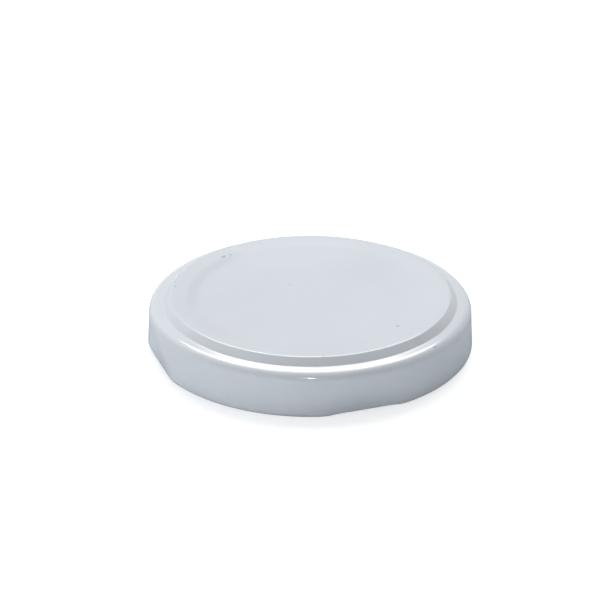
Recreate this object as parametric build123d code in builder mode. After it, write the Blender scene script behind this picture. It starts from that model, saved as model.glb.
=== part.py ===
from build123d import *

import os
from math import acos, atan2, cos, degrees, hypot, pi, radians, sin, tan

# Twist-off jar lid of enamelled tinplate, held by four lugs, with its flowed-in sealing ring.
# Millimetres, +Z up. The origin is the centre of the circle on which the lid rests, open side down.
# The lugs point along +X, +Y, -X and -Y.

# Sheet and overall form
sheet = 0.2                     # tinplate with its enamel
lid_height = 10.2               # resting circle to the top of the raised panel
rim_radius = 30.9               # outside of the rolled edge

# Skirt, shoulder and ledge, from the rim inwards
skirt_lean = 0.42               # how much smaller the skirt is at the shoulder's corner than the rim
shoulder_bend = 1.7
plain_skirt = 0.2               # height of round skirt kept under the shoulder's bend
ledge_width = 2.67              # shoulder's corner to the foot of the step
ledge_slope = 4.8               # degrees by which the ledge falls outwards
step_foot_bend = 0.4

# Raised panel, from its step inwards
step_height = 1.37
step_width = 1.3
panel_bend = 0.45
panel_rim_width = 1.5           # flat rim of the panel, with the bend at its outer edge
recess_width = 3.2              # shallow slope from the flat rim down to the flat centre
recess_depth = 0.2              # how far the centre of the panel lies below its rim
recess_bend = 18.0              # outer bend radius at both ends of the shallow slope

# Rolled lower edge
roll_radius = 0.95              # outside of the roll's section
roll_end_angle = 50.0           # where the roll ends, above the horizontal, short of the skirt

# Lugs, pressed into the rolled edge
lug_count = 4
lug_press = 0.9                 # how far the foot of the skirt is pushed in at a lug's middle
lug_reach = 3.6                 # rim to the tip of a lug
lug_thickness = 1.2             # height of the flattened roll
lug_lift = 0.15                 # gap between a lug and the surface under the lid
lug_flat_angle = 7.0            # half the angle over which a lug has its full reach
lug_ramp_angle = 15.0           # half the angle at which the roll is round again
press_drop = 0.5                # how far below the round skirt the pressed facet starts
press_softness = 0.4            # rounding between the facet and the round skirt
lowest_bend_height = 3.0        # lowest place of the facet's upper bend

# Sealing ring in the channel under the ledge
ring_thickness = 0.9
ring_setback = 0.55             # foot of the step to the ring's inner side
ring_lip = 0.15                 # how far below the shoulder's bend the ring reaches
ring_hollow = 0.12              # how far the ring's lower face is dished
ring_edge_radius = 0.35         # rounding of the ring's inner lower edge

# Making of the shell
span_steps = 40                 # steps between the sections of the edge, from one lug to the next
roll_arcs = 4                   # arcs that make up the roll's section
joint_tolerance = 1e-4          # between the round cup and the lofted edge


def tangent_angle(point, centre, half_width, half_height):
    """Angle on an ellipse, in radians, where a straight line from a point above touches its outer side."""
    across = point[0] - centre[0]
    up = (point[1] - centre[1]) * half_width / half_height
    return atan2(up, across) - acos(half_width / hypot(across, up))


def soft_min(a, b, softness):
    """The smaller of two values, rounded where they cross."""
    overlap = max(softness - abs(a - b), 0.0)
    return min(a, b) - overlap**2 / (4.0 * softness)


def radial_plane(angle):
    """Upright plane through the axis, with its x along the radius at an angle and its y up."""
    turn = radians(angle)
    return Plane(origin=(0, 0, 0), x_dir=(cos(turn), sin(turn), 0), z_dir=(sin(turn), -cos(turn), 0))


# Places of the section, from the rim inwards
shoulder_radius = rim_radius - skirt_lean
step_foot_radius = shoulder_radius - ledge_width
panel_radius = step_foot_radius - step_width
recess_edge_radius = panel_radius - panel_rim_width
recess_floor_radius = recess_edge_radius - recess_width
step_foot_height = lid_height - step_height
ledge_angle = radians(ledge_slope)
shoulder_height = step_foot_height - ledge_width * tan(ledge_angle)

# Skirt: a straight line from the shoulder's corner that touches the round roll
shoulder_corner = (shoulder_radius, shoulder_height)
round_roll_centre = (rim_radius - roll_radius, roll_radius)
skirt_angle = tangent_angle(shoulder_corner, round_roll_centre, roll_radius, roll_radius)
skirt_slope = tan(skirt_angle)
sheet_across = sheet / cos(skirt_angle)
shoulder_turn = pi / 2.0 - skirt_angle - ledge_angle
shoulder_end_height = shoulder_height - shoulder_bend * tan(shoulder_turn / 2.0) * cos(skirt_angle)
skirt_joint_height = shoulder_end_height - plain_skirt
press_top_height = skirt_joint_height - press_drop


def skirt_radius(height):
    """Outside radius of the plain skirt at a height."""
    return shoulder_radius + (shoulder_height - height) * skirt_slope


# Pressed facet: a plane that leans in from the top of the facet to the foot of the skirt
press_foot_radius = rim_radius - lug_press
press_slope = (skirt_radius(press_top_height) - press_foot_radius) / (press_top_height - roll_radius)
lug_tip_radius = rim_radius - lug_reach


def facet_bend_height(angle):
    """Height at which the facet's plane leaves the round skirt, at an angle from the lug's middle."""
    turn = cos(radians(angle))
    rise = turn * skirt_radius(0.0) - press_foot_radius + press_slope * roll_radius
    height = rise / (press_slope + turn * skirt_slope)
    return -soft_min(-height, -lowest_bend_height, press_softness)


def pressed_radius(angle):
    """Outside radius of the rolled edge at an angle from the lug's middle."""
    return soft_min(press_foot_radius / cos(radians(angle)), rim_radius, press_softness)


def lug_share(angle):
    """How much of the lug's full form the roll has, from 0 to 1, at an angle from the lug's middle."""
    share = (lug_ramp_angle - abs(angle)) / (lug_ramp_angle - lug_flat_angle)
    share = min(max(share, 0.0), 1.0)
    return share**3 * (share * (6.0 * share - 15.0) + 10.0)


def edge_section(angle):
    """Section of the skirt and its rolled edge at an angle from a lug's middle."""
    share = lug_share(angle)
    outer_radius = pressed_radius(angle)
    inner_radius = (outer_radius - 2.0 * roll_radius) * (1.0 - share) + lug_tip_radius * share
    half_width = (outer_radius - inner_radius) / 2.0
    half_height = roll_radius * (1.0 - share) + lug_thickness / 2.0 * share
    centre = (outer_radius - half_width, half_height + lug_lift * share)
    bend_height = facet_bend_height(angle)
    with BuildSketch(radial_plane(angle)) as section:
        with BuildLine():
            ends = []
            for inset, inset_across in ((0.0, 0.0), (sheet, sheet_across)):
                width, height = half_width - inset, half_height - inset
                bend = (skirt_radius(bend_height) - inset_across, bend_height)
                touch = degrees(tangent_angle(bend, centre, width, height))
                arc_size = (360.0 + touch - roll_end_angle) / roll_arcs
                roll = [
                    EllipticalCenterArc(
                        centre, width, height, roll_end_angle + arc * arc_size, arc_size=arc_size
                    )
                    for arc in range(roll_arcs)
                ]
                top = (skirt_radius(skirt_joint_height) - inset_across, skirt_joint_height)
                skirt = Bezier(roll[-1] @ 1, bend, top)
                ends.append((roll[0] @ 0, skirt @ 1))
            Line(ends[0][0], ends[1][0])
            Line(ends[0][1], ends[1][1])
        make_face()
    return section.sketch


# Round cup: panel, step, ledge, shoulder and the top of the skirt
with BuildPart() as cup:
    with BuildSketch(Plane.XZ):
        with BuildLine():
            outside = FilletPolyline(
                (0, lid_height - recess_depth),
                (recess_floor_radius, lid_height - recess_depth),
                (recess_edge_radius, lid_height),
                (panel_radius, lid_height),
                (step_foot_radius, step_foot_height),
                shoulder_corner,
                (skirt_radius(0.0), 0.0),
                radius=[recess_bend, recess_bend, panel_bend, step_foot_bend, shoulder_bend],
            )
            offset(outside, amount=sheet, side=Side.RIGHT)
        make_face()
    revolve(axis=Axis.Z)
    split(bisect_by=Plane.XY.offset(skirt_joint_height), keep=Keep.TOP)

# Skirt with its rolled edge and lugs, as the span that belongs to one lug, repeated around the axis
span_angle = 360.0 / lug_count
step_angle = span_angle / span_steps

with BuildPart() as edge_span:
    loft([edge_section(step * step_angle - span_angle / 2.0) for step in range(span_steps + 1)])

with BuildPart() as edge:
    with PolarLocations(0.0, lug_count):
        add(edge_span.part)

with BuildPart() as lid_shell:
    add(cup.part.solid().fuse(edge.part.solid(), tol=joint_tolerance))

# Sealing ring: fills the shoulder's inside, under the ledge
ring_inner_radius = step_foot_radius + ring_setback
ring_top_height = step_foot_height - ring_setback * tan(ledge_angle) - sheet / cos(ledge_angle)
ring_face_height = ring_top_height - ring_thickness
ring_lip_height = shoulder_end_height - ring_lip
corner_inset = sheet / (1.0 + sin(ledge_angle + skirt_angle))
channel_corner = (
    shoulder_radius - corner_inset * (sin(ledge_angle) + cos(skirt_angle)),
    shoulder_height - corner_inset * (cos(ledge_angle) + sin(skirt_angle)),
)

with BuildPart() as sealing_ring:
    with BuildSketch(Plane.XZ) as ring_section:
        with BuildLine():
            inner_foot = (ring_inner_radius, ring_face_height)
            lip_end = (skirt_radius(ring_lip_height) - sheet_across, ring_lip_height)
            FilletPolyline(
                inner_foot,
                (ring_inner_radius, ring_top_height),
                channel_corner,
                lip_end,
                radius=[0.0, shoulder_bend - sheet],
            )
            middle = (
                (inner_foot[0] + lip_end[0]) / 2.0,
                (inner_foot[1] + lip_end[1]) / 2.0 + ring_hollow,
            )
            ThreePointArc(lip_end, middle, inner_foot)
        make_face()
        inner_corner = ring_section.vertices().group_by(Axis.X)[0].sort_by(Axis.Y)[0]
        fillet(inner_corner, ring_edge_radius)
    revolve(axis=Axis.Z)

os.makedirs("parts", exist_ok=True)
for name, piece in (("lid_shell", lid_shell), ("sealing_ring", sealing_ring)):
    piece.part.label = name
    export_step(piece.part, f"parts/{name}.step")
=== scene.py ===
from math import acos, atan2, cos, hypot, pi, radians, sin, tan

import bpy
import numpy as np
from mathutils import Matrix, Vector


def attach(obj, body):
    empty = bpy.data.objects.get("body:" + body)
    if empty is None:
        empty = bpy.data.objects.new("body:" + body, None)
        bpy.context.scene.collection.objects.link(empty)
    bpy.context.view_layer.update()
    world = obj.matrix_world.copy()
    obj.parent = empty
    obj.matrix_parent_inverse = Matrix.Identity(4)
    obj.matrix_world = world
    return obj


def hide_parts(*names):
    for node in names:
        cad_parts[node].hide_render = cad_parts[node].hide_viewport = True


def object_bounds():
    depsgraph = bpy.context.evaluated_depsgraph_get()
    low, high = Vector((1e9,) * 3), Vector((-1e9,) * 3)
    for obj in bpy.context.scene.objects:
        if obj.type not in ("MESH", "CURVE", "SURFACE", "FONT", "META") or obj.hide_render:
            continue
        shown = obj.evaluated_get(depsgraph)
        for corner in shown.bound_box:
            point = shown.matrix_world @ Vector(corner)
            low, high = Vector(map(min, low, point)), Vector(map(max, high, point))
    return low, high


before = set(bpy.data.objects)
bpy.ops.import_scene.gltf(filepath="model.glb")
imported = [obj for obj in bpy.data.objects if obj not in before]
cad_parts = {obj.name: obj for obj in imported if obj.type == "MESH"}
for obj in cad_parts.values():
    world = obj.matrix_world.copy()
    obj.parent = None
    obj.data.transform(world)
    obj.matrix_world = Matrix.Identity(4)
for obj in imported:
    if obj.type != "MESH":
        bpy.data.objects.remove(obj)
cad_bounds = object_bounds()

# Twist-off jar lid of enamelled tinplate, resting open side down on a pale floor.
# The lid, its marks and the camera's distance are in millimetres, turned into metres where they are used.
# The floor, the lamps, the camera's clip and the depths of bumps are in metres, and noise scales per metre.
MM = 0.001

# Sheet and overall form
sheet = 0.2
lid_height = 10.2
rim_radius = 30.9

# Skirt, shoulder and ledge, from the rim inwards
skirt_lean = 0.42
shoulder_bend = 1.7
plain_skirt = 0.2
ledge_width = 2.67
ledge_slope = radians(4.8)
step_foot_bend = 0.4

# Raised panel, from its step inwards
step_height = 1.37
step_width = 1.3
panel_bend = 0.45
panel_rim_width = 1.5
recess_width = 3.2
recess_depth = 0.2
recess_bend = 18.0

# Rolled lower edge and the lugs pressed into it
roll_radius = 0.95
roll_end = radians(50.0)
lug_count = 4
lug_press = 0.9
lug_reach = 3.6
lug_thickness = 1.2
lug_lift = 0.15
lug_flat = radians(7.0)
lug_ramp = radians(15.0)
press_drop = 0.5
press_softness = 0.4
lowest_bend_height = 3.0

# Sealing ring under the ledge
ring_thickness = 0.9
ring_setback = 0.55
ring_lip = 0.15
ring_hollow = 0.12
ring_edge_radius = 0.35
ring_corner_bend = 0.05         # upper inner corner, which lies against the shell

# Fineness of the meshes
turn_steps = 360
bend_step = radians(5.0)
roll_step = radians(10.0)
skirt_steps = 12
hold = 0.06                     # distance of a holding point from the end of a straight run
dish_steps = 13                 # steps across the ring's dished face
dish_free_step = 3              # the first of them that lies past the rounded edge

# Camera, its place and its line of sight seen from the middle of the resting circle
camera_azimuth = radians(-19.5)
camera_elevation = radians(26.81)
camera_distance = 426.2
sight_azimuth = radians(-19.21)
sight_elevation = radians(25.76)
camera_lens = 133.7
sensor_width = 36.0
camera_clip = 0.01


def direction(azimuth, elevation):
    """Unit vector away from the lid, where azimuth 0 points to -Y and 90 degrees to +X."""
    return Vector((sin(azimuth) * cos(elevation), -cos(azimuth) * cos(elevation), sin(elevation)))


def add_object(name, data):
    """New object in the scene."""
    item = bpy.data.objects.new(name, data)
    bpy.context.scene.collection.objects.link(item)
    return item


# Shape of the section


def tangent_angle(point, centre, half_width, half_height):
    """Angle on an ellipse where a straight line from a point above touches its outer side."""
    across = point[0] - centre[0]
    up = (point[1] - centre[1]) * half_width / half_height
    return atan2(up, across) - acos(half_width / hypot(across, up))


def soft_min(a, b, softness):
    """The smaller of two values, rounded where they cross."""
    overlap = max(softness - abs(a - b), 0.0)
    return min(a, b) - overlap**2 / (4.0 * softness)


shoulder_radius = rim_radius - skirt_lean
step_foot_radius = shoulder_radius - ledge_width
panel_radius = step_foot_radius - step_width
recess_edge_radius = panel_radius - panel_rim_width
recess_floor_radius = recess_edge_radius - recess_width
recess_floor_height = lid_height - recess_depth
step_foot_height = lid_height - step_height
shoulder_height = step_foot_height - ledge_width * tan(ledge_slope)
shoulder_corner = (shoulder_radius, shoulder_height)
roll_centre = (rim_radius - roll_radius, roll_radius)
skirt_angle = tangent_angle(shoulder_corner, roll_centre, roll_radius, roll_radius)
skirt_slope = tan(skirt_angle)
sheet_across = sheet / cos(skirt_angle)
shoulder_turn = pi / 2.0 - skirt_angle - ledge_slope
shoulder_end_height = shoulder_height - shoulder_bend * tan(shoulder_turn / 2.0) * cos(skirt_angle)
skirt_joint_height = shoulder_end_height - plain_skirt
press_top_height = skirt_joint_height - press_drop


def skirt_radius(height):
    """Outside radius of the plain skirt at a height."""
    return shoulder_radius + (shoulder_height - height) * skirt_slope


press_foot_radius = rim_radius - lug_press
press_slope = (skirt_radius(press_top_height) - press_foot_radius) / (press_top_height - roll_radius)
lug_tip_radius = rim_radius - lug_reach


def facet_bend_height(angle):
    """Height at which a lug's pressed facet leaves the round skirt."""
    rise = cos(angle) * skirt_radius(0.0) - press_foot_radius + press_slope * roll_radius
    height = rise / (press_slope + cos(angle) * skirt_slope)
    return -soft_min(-height, -lowest_bend_height, press_softness)


def lug_share(angle):
    """How much of the lug's full form the roll has, from 0 to 1."""
    share = min(max((lug_ramp - abs(angle)) / (lug_ramp - lug_flat), 0.0), 1.0)
    return share**3 * (share * (6.0 * share - 15.0) + 10.0)


def edge_outline(angle, inset, inset_across):
    """Skirt and roll at an angle from a lug's middle, from the skirt's top to the end of the roll."""
    share = lug_share(angle)
    outer = soft_min(press_foot_radius / cos(angle), rim_radius, press_softness)
    inner = (outer - 2.0 * roll_radius) * (1.0 - share) + lug_tip_radius * share
    half_width = (outer - inner) / 2.0
    half_height = roll_radius * (1.0 - share) + lug_thickness / 2.0 * share
    centre = (outer - half_width, half_height + lug_lift * share)
    width, height = half_width - inset, half_height - inset
    bend_height = facet_bend_height(angle)
    top = np.array((skirt_radius(skirt_joint_height) - inset_across, skirt_joint_height))
    bend = np.array((skirt_radius(bend_height) - inset_across, bend_height))
    touch = tangent_angle(bend, centre, width, height)
    turns = np.linspace(touch, roll_end - 2.0 * pi, 1 + round(2.0 * pi / roll_step))
    roll = np.stack([centre[0] + width * np.cos(turns), centre[1] + height * np.sin(turns)], axis=1)
    along = np.linspace(0.0, 1.0, skirt_steps + 1)[:-1, None]
    skirt = (1.0 - along) ** 2 * top + 2.0 * along * (1.0 - along) * bend + along**2 * roll[0]
    return np.concatenate([skirt, roll])


def left_of(way):
    """A direction or a length in the section, turned to the left by a quarter."""
    return np.array((-way[1], way[0]))


def bend_spokes(first_spoke, turn):
    """Lines from a bend's centre to the points along its arc."""
    parts = np.linspace(0.0, turn, 2 + int(abs(turn) / bend_step))
    return [first_spoke * cos(part) + left_of(first_spoke) * sin(part) for part in parts]


def rounded_outline(corners, radii):
    """Points and left-hand normals of a line with round bends and holding points on its straight runs."""
    corners = [np.array(corner, float) for corner in corners]
    steps = [after - before for before, after in zip(corners, corners[1:])]
    ways = [step / np.linalg.norm(step) for step in steps]
    points, normals = [corners[0]], [left_of(ways[0])]
    for corner, before, after, radius in zip(corners[1:], ways, ways[1:], radii):
        turn = atan2(before[0] * after[1] - before[1] * after[0], before @ after)
        to_left = 1.0 if turn > 0.0 else -1.0
        leg = radius * tan(abs(turn) / 2.0)
        bend_start = corner - before * leg
        centre = bend_start + left_of(before) * to_left * radius
        spokes = bend_spokes(bend_start - centre, turn)
        points += [points[-1] + before * hold, bend_start - before * hold]
        normals += [left_of(before)] * 2
        points += [centre + spoke for spoke in spokes]
        normals += [-spoke / radius * to_left for spoke in spokes]
    points += [points[-1] + ways[-1] * hold, corners[-1]]
    normals += [left_of(ways[-1])] * 2
    return np.array(points), np.array(normals)


# Meshes


def band_faces(row, next_row):
    """Faces between two rings of vertices."""
    here = np.arange(turn_steps)
    after = (here + 1) % turn_steps
    low, high = row * turn_steps, next_row * turn_steps
    return np.stack([low + here, high + here, high + after, low + after], axis=1).tolist()


def cap_faces(pole, row, reverse):
    """Triangles from a vertex on the axis to a ring of vertices."""
    here = np.arange(turn_steps) + row * turn_steps
    sides = [here, np.roll(here, -1)]
    first, second = sides[::-1] if reverse else sides
    return [[pole, a, b] for a, b in zip(first.tolist(), second.tolist())]


def revolved_mesh(name, rings, poles=()):
    """Mesh through rings, each with a radius and a height for every turn step.

    With poles, the first and the last ring are closed at these two heights on the axis. Without them, the
    last ring is joined to the first.
    """
    turns = np.arange(turn_steps) * (2.0 * pi / turn_steps)
    radius, height = np.moveaxis(np.array(rings), 2, 0)
    vertices = np.stack([radius * np.cos(turns), radius * np.sin(turns), height], axis=2).reshape(-1, 3)
    last = len(rings) - 1
    faces = []
    for row in range(last):
        faces += band_faces(row, row + 1)
    if poles:
        faces += cap_faces(len(vertices), 0, False) + cap_faces(len(vertices) + 1, last, True)
        vertices = np.concatenate([vertices, [(0.0, 0.0, pole) for pole in poles]])
    else:
        faces += band_faces(last, 0)
    mesh = bpy.data.meshes.new(name)
    mesh.from_pydata((vertices * MM).tolist(), [], faces)
    mesh.shade_smooth()
    return mesh


def add_piece(name, mesh):
    """Visible piece, shaded by the size of its faces."""
    piece = add_object(name, mesh)
    smooth = piece.modifiers.new("even_normals", "WEIGHTED_NORMAL")
    smooth.keep_sharp = True
    return piece


def round_rings(points):
    """Rings that have the same radius and height all the way round."""
    return [np.tile(point, (turn_steps, 1)) for point in points]


def cup_sides():
    """Points of the outside and of the inside, from beside the axis to the top of the skirt."""
    points, normals = rounded_outline(
        [
            (0.0, recess_floor_height),
            (recess_floor_radius, recess_floor_height),
            (recess_edge_radius, lid_height),
            (panel_radius, lid_height),
            (step_foot_radius, step_foot_height),
            shoulder_corner,
            (skirt_radius(skirt_joint_height + hold), skirt_joint_height + hold),
        ],
        [recess_bend, recess_bend, panel_bend, step_foot_bend, shoulder_bend],
    )
    return points[1:], (points - normals * sheet)[1:]


def lug_angles():
    """Angle from the middle of the nearest lug, for every turn step."""
    lug_span = 2.0 * pi / lug_count
    turns = [turn * 2.0 * pi / turn_steps for turn in range(turn_steps)]
    return [(turn + lug_span / 2.0) % lug_span - lug_span / 2.0 for turn in turns]


def shell_rings(cup_points, inset, inset_across):
    """Rings of one side of the sheet, from beside the axis to the end of the roll."""
    edge = np.array([edge_outline(angle, inset, inset_across) for angle in lug_angles()])
    return [*round_rings(cup_points), *np.moveaxis(edge, 1, 0)]


def sharpen_cut(mesh, row):
    """Sharp lines on both sides of the sheet's cut edge, which lies between a ring and the next."""
    sharp = mesh.attributes.new("sharp_edge", "BOOLEAN", "EDGE")
    sharp.data.foreach_set("value", [
        {vertex // turn_steps for vertex in edge.vertices} in ({row}, {row + 1}) for edge in mesh.edges
    ])


def lid_mesh():
    """Shell of the lid: the outside from the middle to the end of the roll, and the inside back."""
    outside_cup, inside_cup = cup_sides()
    outside = shell_rings(outside_cup, 0.0, 0.0)
    inside = shell_rings(inside_cup, sheet, sheet_across)
    poles = (recess_floor_height, recess_floor_height - sheet)
    mesh = revolved_mesh("lid_shell_look", outside + inside[::-1], poles)
    cut_row = len(outside) - 1
    outside_slot, cut_slot, inside_slot = range(3)
    bands = [outside_slot] * cut_row + [cut_slot] + [inside_slot] * (len(inside) - 1)
    slots = np.repeat([*bands, outside_slot, inside_slot], turn_steps)
    mesh.polygons.foreach_set("material_index", slots.tolist())
    sharpen_cut(mesh, cut_row)
    return mesh


def channel_corner():
    """Corner of the inside under the shoulder, before it is rounded."""
    inset = sheet / (1.0 + sin(ledge_slope + skirt_angle))
    return (
        shoulder_radius - inset * (sin(ledge_slope) + cos(skirt_angle)),
        shoulder_height - inset * (cos(ledge_slope) + sin(skirt_angle)),
    )


def ring_mesh():
    """Sealing ring: it fills the inside of the shoulder, with a dished lower face."""
    inner_radius = step_foot_radius + ring_setback
    top_height = step_foot_height - ring_setback * tan(ledge_slope) - sheet / cos(ledge_slope)
    lip_height = shoulder_end_height - ring_lip
    inner_foot = np.array((inner_radius, top_height - ring_thickness))
    lip_end = np.array((skirt_radius(lip_height) - sheet_across, lip_height))
    along = np.linspace(0.0, 1.0, dish_steps + 1)[:, None]
    rise = np.array((0.0, 4.0 * ring_hollow)) * along * (1.0 - along)
    dish = inner_foot + along * (lip_end - inner_foot) + rise
    points, _ = rounded_outline(
        [dish[dish_free_step], inner_foot, (inner_radius, top_height), channel_corner(), lip_end],
        [ring_edge_radius, ring_corner_bend, shoulder_bend - sheet],
    )
    outline = np.concatenate([points, dish[-2:dish_free_step:-1]])
    return revolved_mesh("sealing_ring_look", round_rings(outline))


# Materials

black = (0.0, 0.0, 0.0)
white = (1.0, 1.0, 1.0)
noise_middle = (0.5, 0.5, 0.5)
noise_ends = (0.3, 0.7)         # ends of the usual range of a noise
tone_ends = (0.35, 0.65)        # the same for the change of tone, which is steeper

# Enamel, outside and inside
outside_colour = (0.70, 0.735, 0.784)
outside_roughness = 0.09
inside_colour = (0.725, 0.745, 0.755)
inside_roughness = 0.24
enamel_ior = 1.5
tone_scale = 45.0
tone_share = 0.965              # darkest tone, as a share of the colour
grain_scale = 1300.0
grain_share = 0.5               # colour of a grain, as a share of the enamel's
grain_strength = 0.035
gloss_scale = 160.0
gloss_spread = 0.05             # roughest place of the enamel less its smoothest
peel_scale = 1400.0
peel_strength = 0.12
peel_depth = 4e-6

# Cut edge of the sheet, and the sealing compound
tin_colours = ((0.50, 0.50, 0.50), (0.62, 0.62, 0.61))
tin_roughness = (0.32, 0.48)
tin_scale = 3000.0
compound_colours = ((0.74, 0.71, 0.62), (0.80, 0.78, 0.70))
compound_roughness = (0.42, 0.55)
compound_scale = 300.0
lump_scale = 900.0
lump_strength = 0.25
lump_depth = 2e-5

# Painted shade: a grey arc on the panel's shallow recess slope at the back left, where that slope faces
# away from the light
painted_shade_colour = (0.60, 0.64, 0.69)
painted_shade_strength = 0.65
painted_shade_azimuth = radians(-130.0)
painted_shade_radius = 22.2
painted_shade_core = 0.4               # it is full up to this distance from its middle line
painted_shade_width = 1.7              # and has gone at this one
painted_shade_fade = (0.78, 0.94)      # along its azimuth, where it starts and is full, as shares of its radius

# Specks: middle and half sizes in millimetres, turn in degrees, and strength
speck_colour = (0.18, 0.20, 0.24)
specks = (
    ((-10.5, 21.2, 10.1), (0.80, 0.40, 0.5), 35.0, 0.50),
    ((-9.0, 21.8, 10.1), (0.28, 0.80, 0.5), 10.0, 0.40),
    ((-23.3, 11.0, 10.2), (0.35, 0.45, 0.4), 0.0, 0.55),
    ((-2.2, 5.0, 10.0), (0.50, 0.35, 0.4), -20.0, 0.22),
    ((10.6, -18.2, 10.0), (0.55, 0.45, 0.4), -20.0, 0.35),
    ((15.0, -25.7, 8.5), (0.55, 0.30, 0.5), 40.0, 0.60),
    ((-6.5, -25.6, 10.2), (0.35, 0.35, 0.4), 0.0, 0.35),
)
mark_core = 0.4                 # full part of a speck or streak, as a share of its half size
ragged_scale = 4000.0
ragged_reach = 0.7              # how far the noise moves a speck's outline, in millimetres

# Painted highlights, thin light streaks on the shoulder bend: middle and half sizes in millimetres, turn
# and tilt in degrees
painted_highlight_colour = (0.92, 0.94, 0.97)
painted_highlight_strength = 0.75
painted_highlight_streaks = (
    ((-21.8, -21.4, 7.86), (1.3, 0.4, 0.10), -45.0, 6.5),
    ((-19.4, -23.6, 7.60), (0.9, 0.4, 0.10), -39.5, 6.5),
)


def scaled(values, factor):
    """Each of some values times a number."""
    return tuple(factor * value for value in values)


class Nodes:
    """Short forms for the nodes of one material or world, which end in one shader."""

    def __init__(self, owner, shader):
        owner.use_nodes = True
        self.owner = owner
        self.tree = owner.node_tree
        self.shader = self.tree.nodes[shader]

    def feed(self, socket, value):
        """Link another socket to a socket, or set a constant on it."""
        if isinstance(value, bpy.types.NodeSocket):
            self.tree.links.new(value, socket)
        else:
            socket.default_value = value

    def add(self, kind, inputs=(), **settings):
        node = self.tree.nodes.new(kind)
        for key, value in settings.items():
            setattr(node, key, value)
        for key, value in dict(inputs).items():
            self.feed(node.inputs[key], value)
        return node

    def math(self, operation, a, b=0.0):
        return self.add("ShaderNodeMath", {0: a, 1: b}, operation=operation).outputs[0]

    def vector_math(self, operation, *values):
        """Result of a vector sum, which is one number for a length or a dot product."""
        node = self.add("ShaderNodeVectorMath", dict(enumerate(values)), operation=operation)
        return node.outputs["Value" if operation in ("LENGTH", "DOT_PRODUCT") else "Vector"]

    def ramp(self, value, low, high, to_low=0.0, to_high=1.0):
        inputs = {"Value": value, "From Min": low, "From Max": high, "To Min": to_low, "To Max": to_high}
        return self.add("ShaderNodeMapRange", inputs).outputs["Result"]

    def noise(self, place, scale, detail=2.0, output="Fac"):
        inputs = {"Vector": place, "Scale": scale, "Detail": detail}
        return self.add("ShaderNodeTexNoise", inputs).outputs[output]

    def mix(self, factor, a, b):
        """Mix of two colours. Sockets go by number, because the node has each name several times."""
        first, second = ((*end, 1.0) if isinstance(end, tuple) else end for end in (a, b))
        return self.add("ShaderNodeMix", {0: factor, 6: first, 7: second}, data_type="RGBA").outputs[2]

    def place(self):
        return self.add("ShaderNodeTexCoord").outputs["Object"]

    def bump(self, height, strength, distance):
        inputs = {"Height": height, "Strength": strength, "Distance": distance}
        return self.add("ShaderNodeBump", inputs).outputs["Normal"]

    def ray_level(self, camera_level, mirror_level, other_level):
        """Levels for camera rays, for glossy and transmission rays, and for the light on the lid."""
        path = self.add("ShaderNodeLightPath")
        level = other_level
        for kind, kind_level in (
            ("Is Glossy Ray", mirror_level),
            ("Is Transmission Ray", mirror_level),
            ("Is Camera Ray", camera_level),
        ):
            inputs = {"Factor": path.outputs[kind], "A": level, "B": kind_level}
            level = self.add("ShaderNodeMix", inputs).outputs["Result"]
        return level

    def join(self, value, socket):
        self.tree.links.new(value, self.shader.inputs[socket])

    def set(self, **values):
        for key, value in values.items():
            self.shader.inputs[key.replace("_", " ")].default_value = value


def material_nodes(name):
    """Nodes of a new material."""
    return Nodes(bpy.data.materials.new(name), "Principled BSDF")


def mark(nodes, place, centre, half_sizes, turn, tilt=0.0):
    """Soft spot or streak, 1 in its middle and 0 outside. Sizes in millimetres, angles in degrees."""
    inputs = {
        "Vector": place,
        "Location": scaled(centre, MM),
        "Rotation": (0.0, radians(tilt), radians(turn)),
        "Scale": scaled(half_sizes, MM),
    }
    local = nodes.add("ShaderNodeMapping", inputs, vector_type="TEXTURE").outputs["Vector"]
    return nodes.ramp(nodes.vector_math("LENGTH", local), mark_core, 1.0, 1.0, 0.0)


def painted_shade_arc(nodes, place):
    """Painted shade: a faint grey arc on the shallow slope of the panel, at the back left, where the slope
    faces away from the light.
    """
    middle = MM * painted_shade_radius
    flat = nodes.vector_math("MULTIPLY", place, (1.0, 1.0, 0.0))
    off_middle = nodes.math("SUBTRACT", nodes.vector_math("LENGTH", flat), middle)
    band = nodes.ramp(nodes.math("ABSOLUTE", off_middle), MM * painted_shade_core, MM * painted_shade_width, 1.0, 0.0)
    along = nodes.vector_math("DOT_PRODUCT", flat, tuple(direction(painted_shade_azimuth, 0.0)))
    return nodes.math("MULTIPLY", band, nodes.ramp(along, *scaled(painted_shade_fade, middle)))


def specks_and_painted_light(nodes, place, colour):
    """The enamel's colour with a painted shade arc, small dark specks and light streaks painted as
    highlights.
    """
    ragged = nodes.noise(place, ragged_scale, detail=1.0, output="Color")
    shift = nodes.vector_math("SUBTRACT", ragged, noise_middle)
    shaken = nodes.vector_math("MULTIPLY_ADD", shift, (MM * ragged_reach,) * 3, place)
    # Painted shade: a darker arc on the recess slope where it is turned away from the light.
    painted_shade_share = nodes.math("MULTIPLY", painted_shade_arc(nodes, place), painted_shade_strength)
    colour = nodes.mix(painted_shade_share, colour, painted_shade_colour)
    for centre, half_sizes, turn, strength in specks:
        speck = mark(nodes, shaken, centre, half_sizes, turn)
        colour = nodes.mix(nodes.math("MULTIPLY", speck, strength), colour, speck_colour)
    # Painted highlights: light streaks on the shoulder bend.
    for centre, half_sizes, turn, tilt in painted_highlight_streaks:
        highlight_streak = mark(nodes, place, centre, half_sizes, turn, tilt)
        colour = nodes.mix(nodes.math("MULTIPLY", highlight_streak, painted_highlight_strength), colour, painted_highlight_colour)
    return colour


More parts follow.
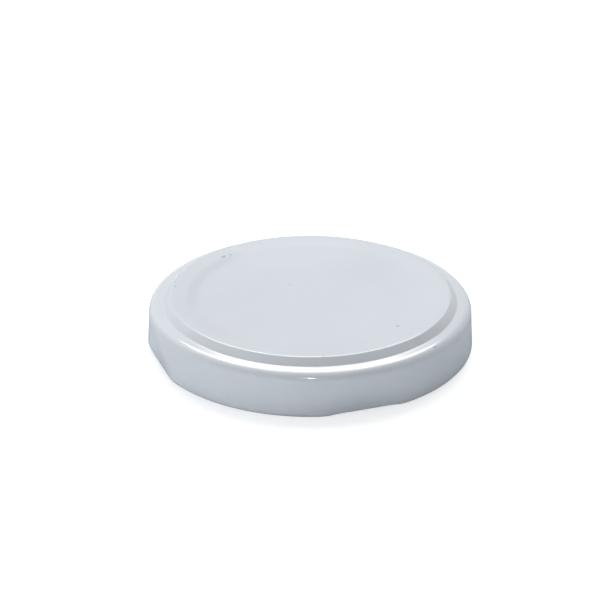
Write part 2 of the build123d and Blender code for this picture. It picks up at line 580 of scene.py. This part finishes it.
def enamel(name, colour, roughness, with_specks_and_painted_light=False):
    """Glossy lacquered enamel with a faint change of tone and a slight orange peel."""
    nodes = material_nodes(name)
    place = nodes.place()
    tone = nodes.ramp(nodes.noise(place, tone_scale, detail=3.0), *tone_ends)
    grain = nodes.ramp(nodes.noise(place, grain_scale), *noise_ends)
    base = nodes.mix(tone, scaled(colour, tone_share), colour)
    base = nodes.mix(nodes.math("MULTIPLY", grain, grain_strength), base, scaled(colour, grain_share))
    # For the outside enamel this adds painted shade, painted highlight streaks and dark specks to the
    # colour.
    nodes.join(specks_and_painted_light(nodes, place, base) if with_specks_and_painted_light else base, "Base Color")
    gloss = nodes.noise(place, gloss_scale, detail=3.0)
    nodes.join(nodes.ramp(gloss, *noise_ends, roughness, roughness + gloss_spread), "Roughness")
    nodes.join(nodes.bump(nodes.noise(place, peel_scale), peel_strength, peel_depth), "Normal")
    nodes.set(IOR=enamel_ior)
    return nodes.owner


def bare_tin():
    """Cut edge of the sheet."""
    nodes = material_nodes("cut_tin")
    grain = nodes.noise(nodes.place(), tin_scale)
    nodes.join(nodes.mix(grain, *tin_colours), "Base Color")
    nodes.join(nodes.ramp(grain, *noise_ends, *tin_roughness), "Roughness")
    nodes.set(Metallic=1.0)
    return nodes.owner


def compound():
    """Soft off-white sealing compound with a slightly uneven surface."""
    nodes = material_nodes("ring_compound")
    place = nodes.place()
    cloud = nodes.noise(place, compound_scale, detail=3.0)
    nodes.join(nodes.mix(cloud, *compound_colours), "Base Color")
    nodes.join(nodes.ramp(cloud, *noise_ends, *compound_roughness), "Roughness")
    lumps = nodes.noise(place, lump_scale, detail=3.0)
    nodes.join(nodes.bump(lumps, lump_strength, lump_depth), "Normal")
    return nodes.owner


def dress_lid():
    """The shell and its sealing ring, which take the places of the CAD nodes."""
    shell = add_piece("shell", lid_mesh())
    # The outside enamel carries painted shade and painted highlights besides its specks.
    shell.data.materials.append(enamel("white_enamel", outside_colour, outside_roughness, with_specks_and_painted_light=True))
    shell.data.materials.append(bare_tin())
    shell.data.materials.append(enamel("inside_enamel", inside_colour, inside_roughness))
    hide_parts("lid_shell")
    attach(shell, "root")
    ring = add_piece("ring", ring_mesh())
    ring.data.materials.append(compound())
    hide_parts("sealing_ring")
    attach(ring, "root")


# Floor, lamps and camera

# Floor: how much of its colour and how much light of its own the camera and the lid's reflections see
floor_colour = (0.825, 0.875, 0.915)
floor_camera_share = 0.57
floor_mirror_share = 0.44
floor_camera_lift = 0.67
floor_mirror_lift = 0.02
floor_reach = 0.5
floor_gap = 1e-5

# World: its light on the lid, and how bright its reflections are near the horizon and above
world_strength = 0.09
horizon_strength = 0.50
sky_strength = 0.03
horizon_low = radians(12.0)
horizon_high = radians(22.0)

lamp_distance = 1.0


def floor_material():
    """Matt and pale, shown as white, with the lid's shadow on it and its light on the skirt."""
    nodes = material_nodes("pale_floor")
    nodes.set(Roughness=1.0, Specular_IOR_Level=0.0, Emission_Color=(*white, 1.0))
    share = nodes.ray_level(floor_camera_share, floor_mirror_share, 1.0)
    nodes.join(nodes.mix(share, black, floor_colour), "Base Color")
    nodes.join(nodes.ray_level(floor_camera_lift, floor_mirror_lift, 0.0), "Emission Strength")
    return nodes.owner


def pale_floor():
    """Square floor just under the lid."""
    low, _ = cad_bounds
    height = low[2] - floor_gap
    corners = [(x * floor_reach, y * floor_reach, height) for x, y in ((-1, -1), (1, -1), (1, 1), (-1, 1))]
    mesh = bpy.data.meshes.new("floor")
    mesh.from_pydata(corners, [], [(0, 1, 2, 3)])
    mesh.materials.append(floor_material())
    floor = add_object("floor", mesh)


def studio_world():
    """White behind the lid, even pale light on it, and a brighter horizon than sky in its reflections."""
    nodes = Nodes(bpy.data.worlds.new("studio"), "Background")
    bpy.context.scene.world = nodes.owner
    nodes.set(Color=(*white, 1.0))
    way = nodes.add("ShaderNodeTexCoord").outputs["Generated"]
    up = nodes.add("ShaderNodeSeparateXYZ", {"Vector": way}).outputs["Z"]
    glow = nodes.ramp(up, sin(horizon_low), sin(horizon_high), horizon_strength, sky_strength)
    nodes.join(nodes.ray_level(1.0, glow, world_strength), "Strength")


def look_against(item, away):
    """Turn a lamp or the camera to look against a direction, with its upper side up."""
    item.rotation_euler = away.to_track_quat("Z", "Y").to_euler()


def softbox(name, azimuth, elevation, wide, high, radiance, mirrored=True, oval=False):
    """Flat lamp that faces the lid. All angles in degrees, with azimuth 0 over the camera."""
    light = bpy.data.lights.new(name, "AREA")
    light.shape = "ELLIPSE" if oval else "RECTANGLE"
    light.size = 2.0 * lamp_distance * tan(radians(wide) / 2.0)
    light.size_y = 2.0 * lamp_distance * tan(radians(high) / 2.0)
    light.energy = radiance * pi * light.size * light.size_y * (pi / 4.0 if oval else 1.0)
    lamp = add_object(name, light)
    away = direction(camera_azimuth + radians(azimuth), radians(elevation))
    lamp.location = away * lamp_distance
    look_against(lamp, away)
    lamp.visible_camera = False
    lamp.visible_glossy = mirrored


def light_lid():
    """Oval lamps at the back for the white band on the ledge, wide weak ones and a small front one."""
    softbox("back_softbox", azimuth=-180.0, elevation=54.0, wide=45.0, high=37.0, radiance=6.7, oval=True)
    softbox("back_wing", azimuth=-180.0, elevation=62.0, wide=78.0, high=22.0, radiance=1.0, oval=True)
    softbox("top_softbox", azimuth=0.0, elevation=89.0, wide=40.0, high=40.0, radiance=0.7)
    softbox(
        "left_softbox", azimuth=-64.0, elevation=12.0, wide=76.0, high=20.0, radiance=2.2, mirrored=False
    )
    softbox("back_left_softbox", azimuth=-130.0, elevation=35.0, wide=36.0, high=30.0, radiance=0.65)
    softbox(
        "right_softbox", azimuth=80.0, elevation=12.0, wide=50.0, high=20.0, radiance=0.12, mirrored=False
    )
    softbox("front_lamp", azimuth=0.5, elevation=31.0, wide=4.6, high=6.0, radiance=48.0)


def make_camera():
    """Camera at its fitted place, with a narrow view."""
    data = bpy.data.cameras.new("camera")
    data.lens = camera_lens
    data.sensor_width = sensor_width
    data.clip_start = camera_clip
    camera = add_object("camera", data)
    camera.location = direction(camera_azimuth, camera_elevation) * camera_distance * MM
    look_against(camera, direction(sight_azimuth, sight_elevation))
    bpy.context.scene.camera = camera


dress_lid()
pale_floor()
studio_world()
light_lid()
make_camera()
bpy.context.scene.view_settings.view_transform = "Standard"
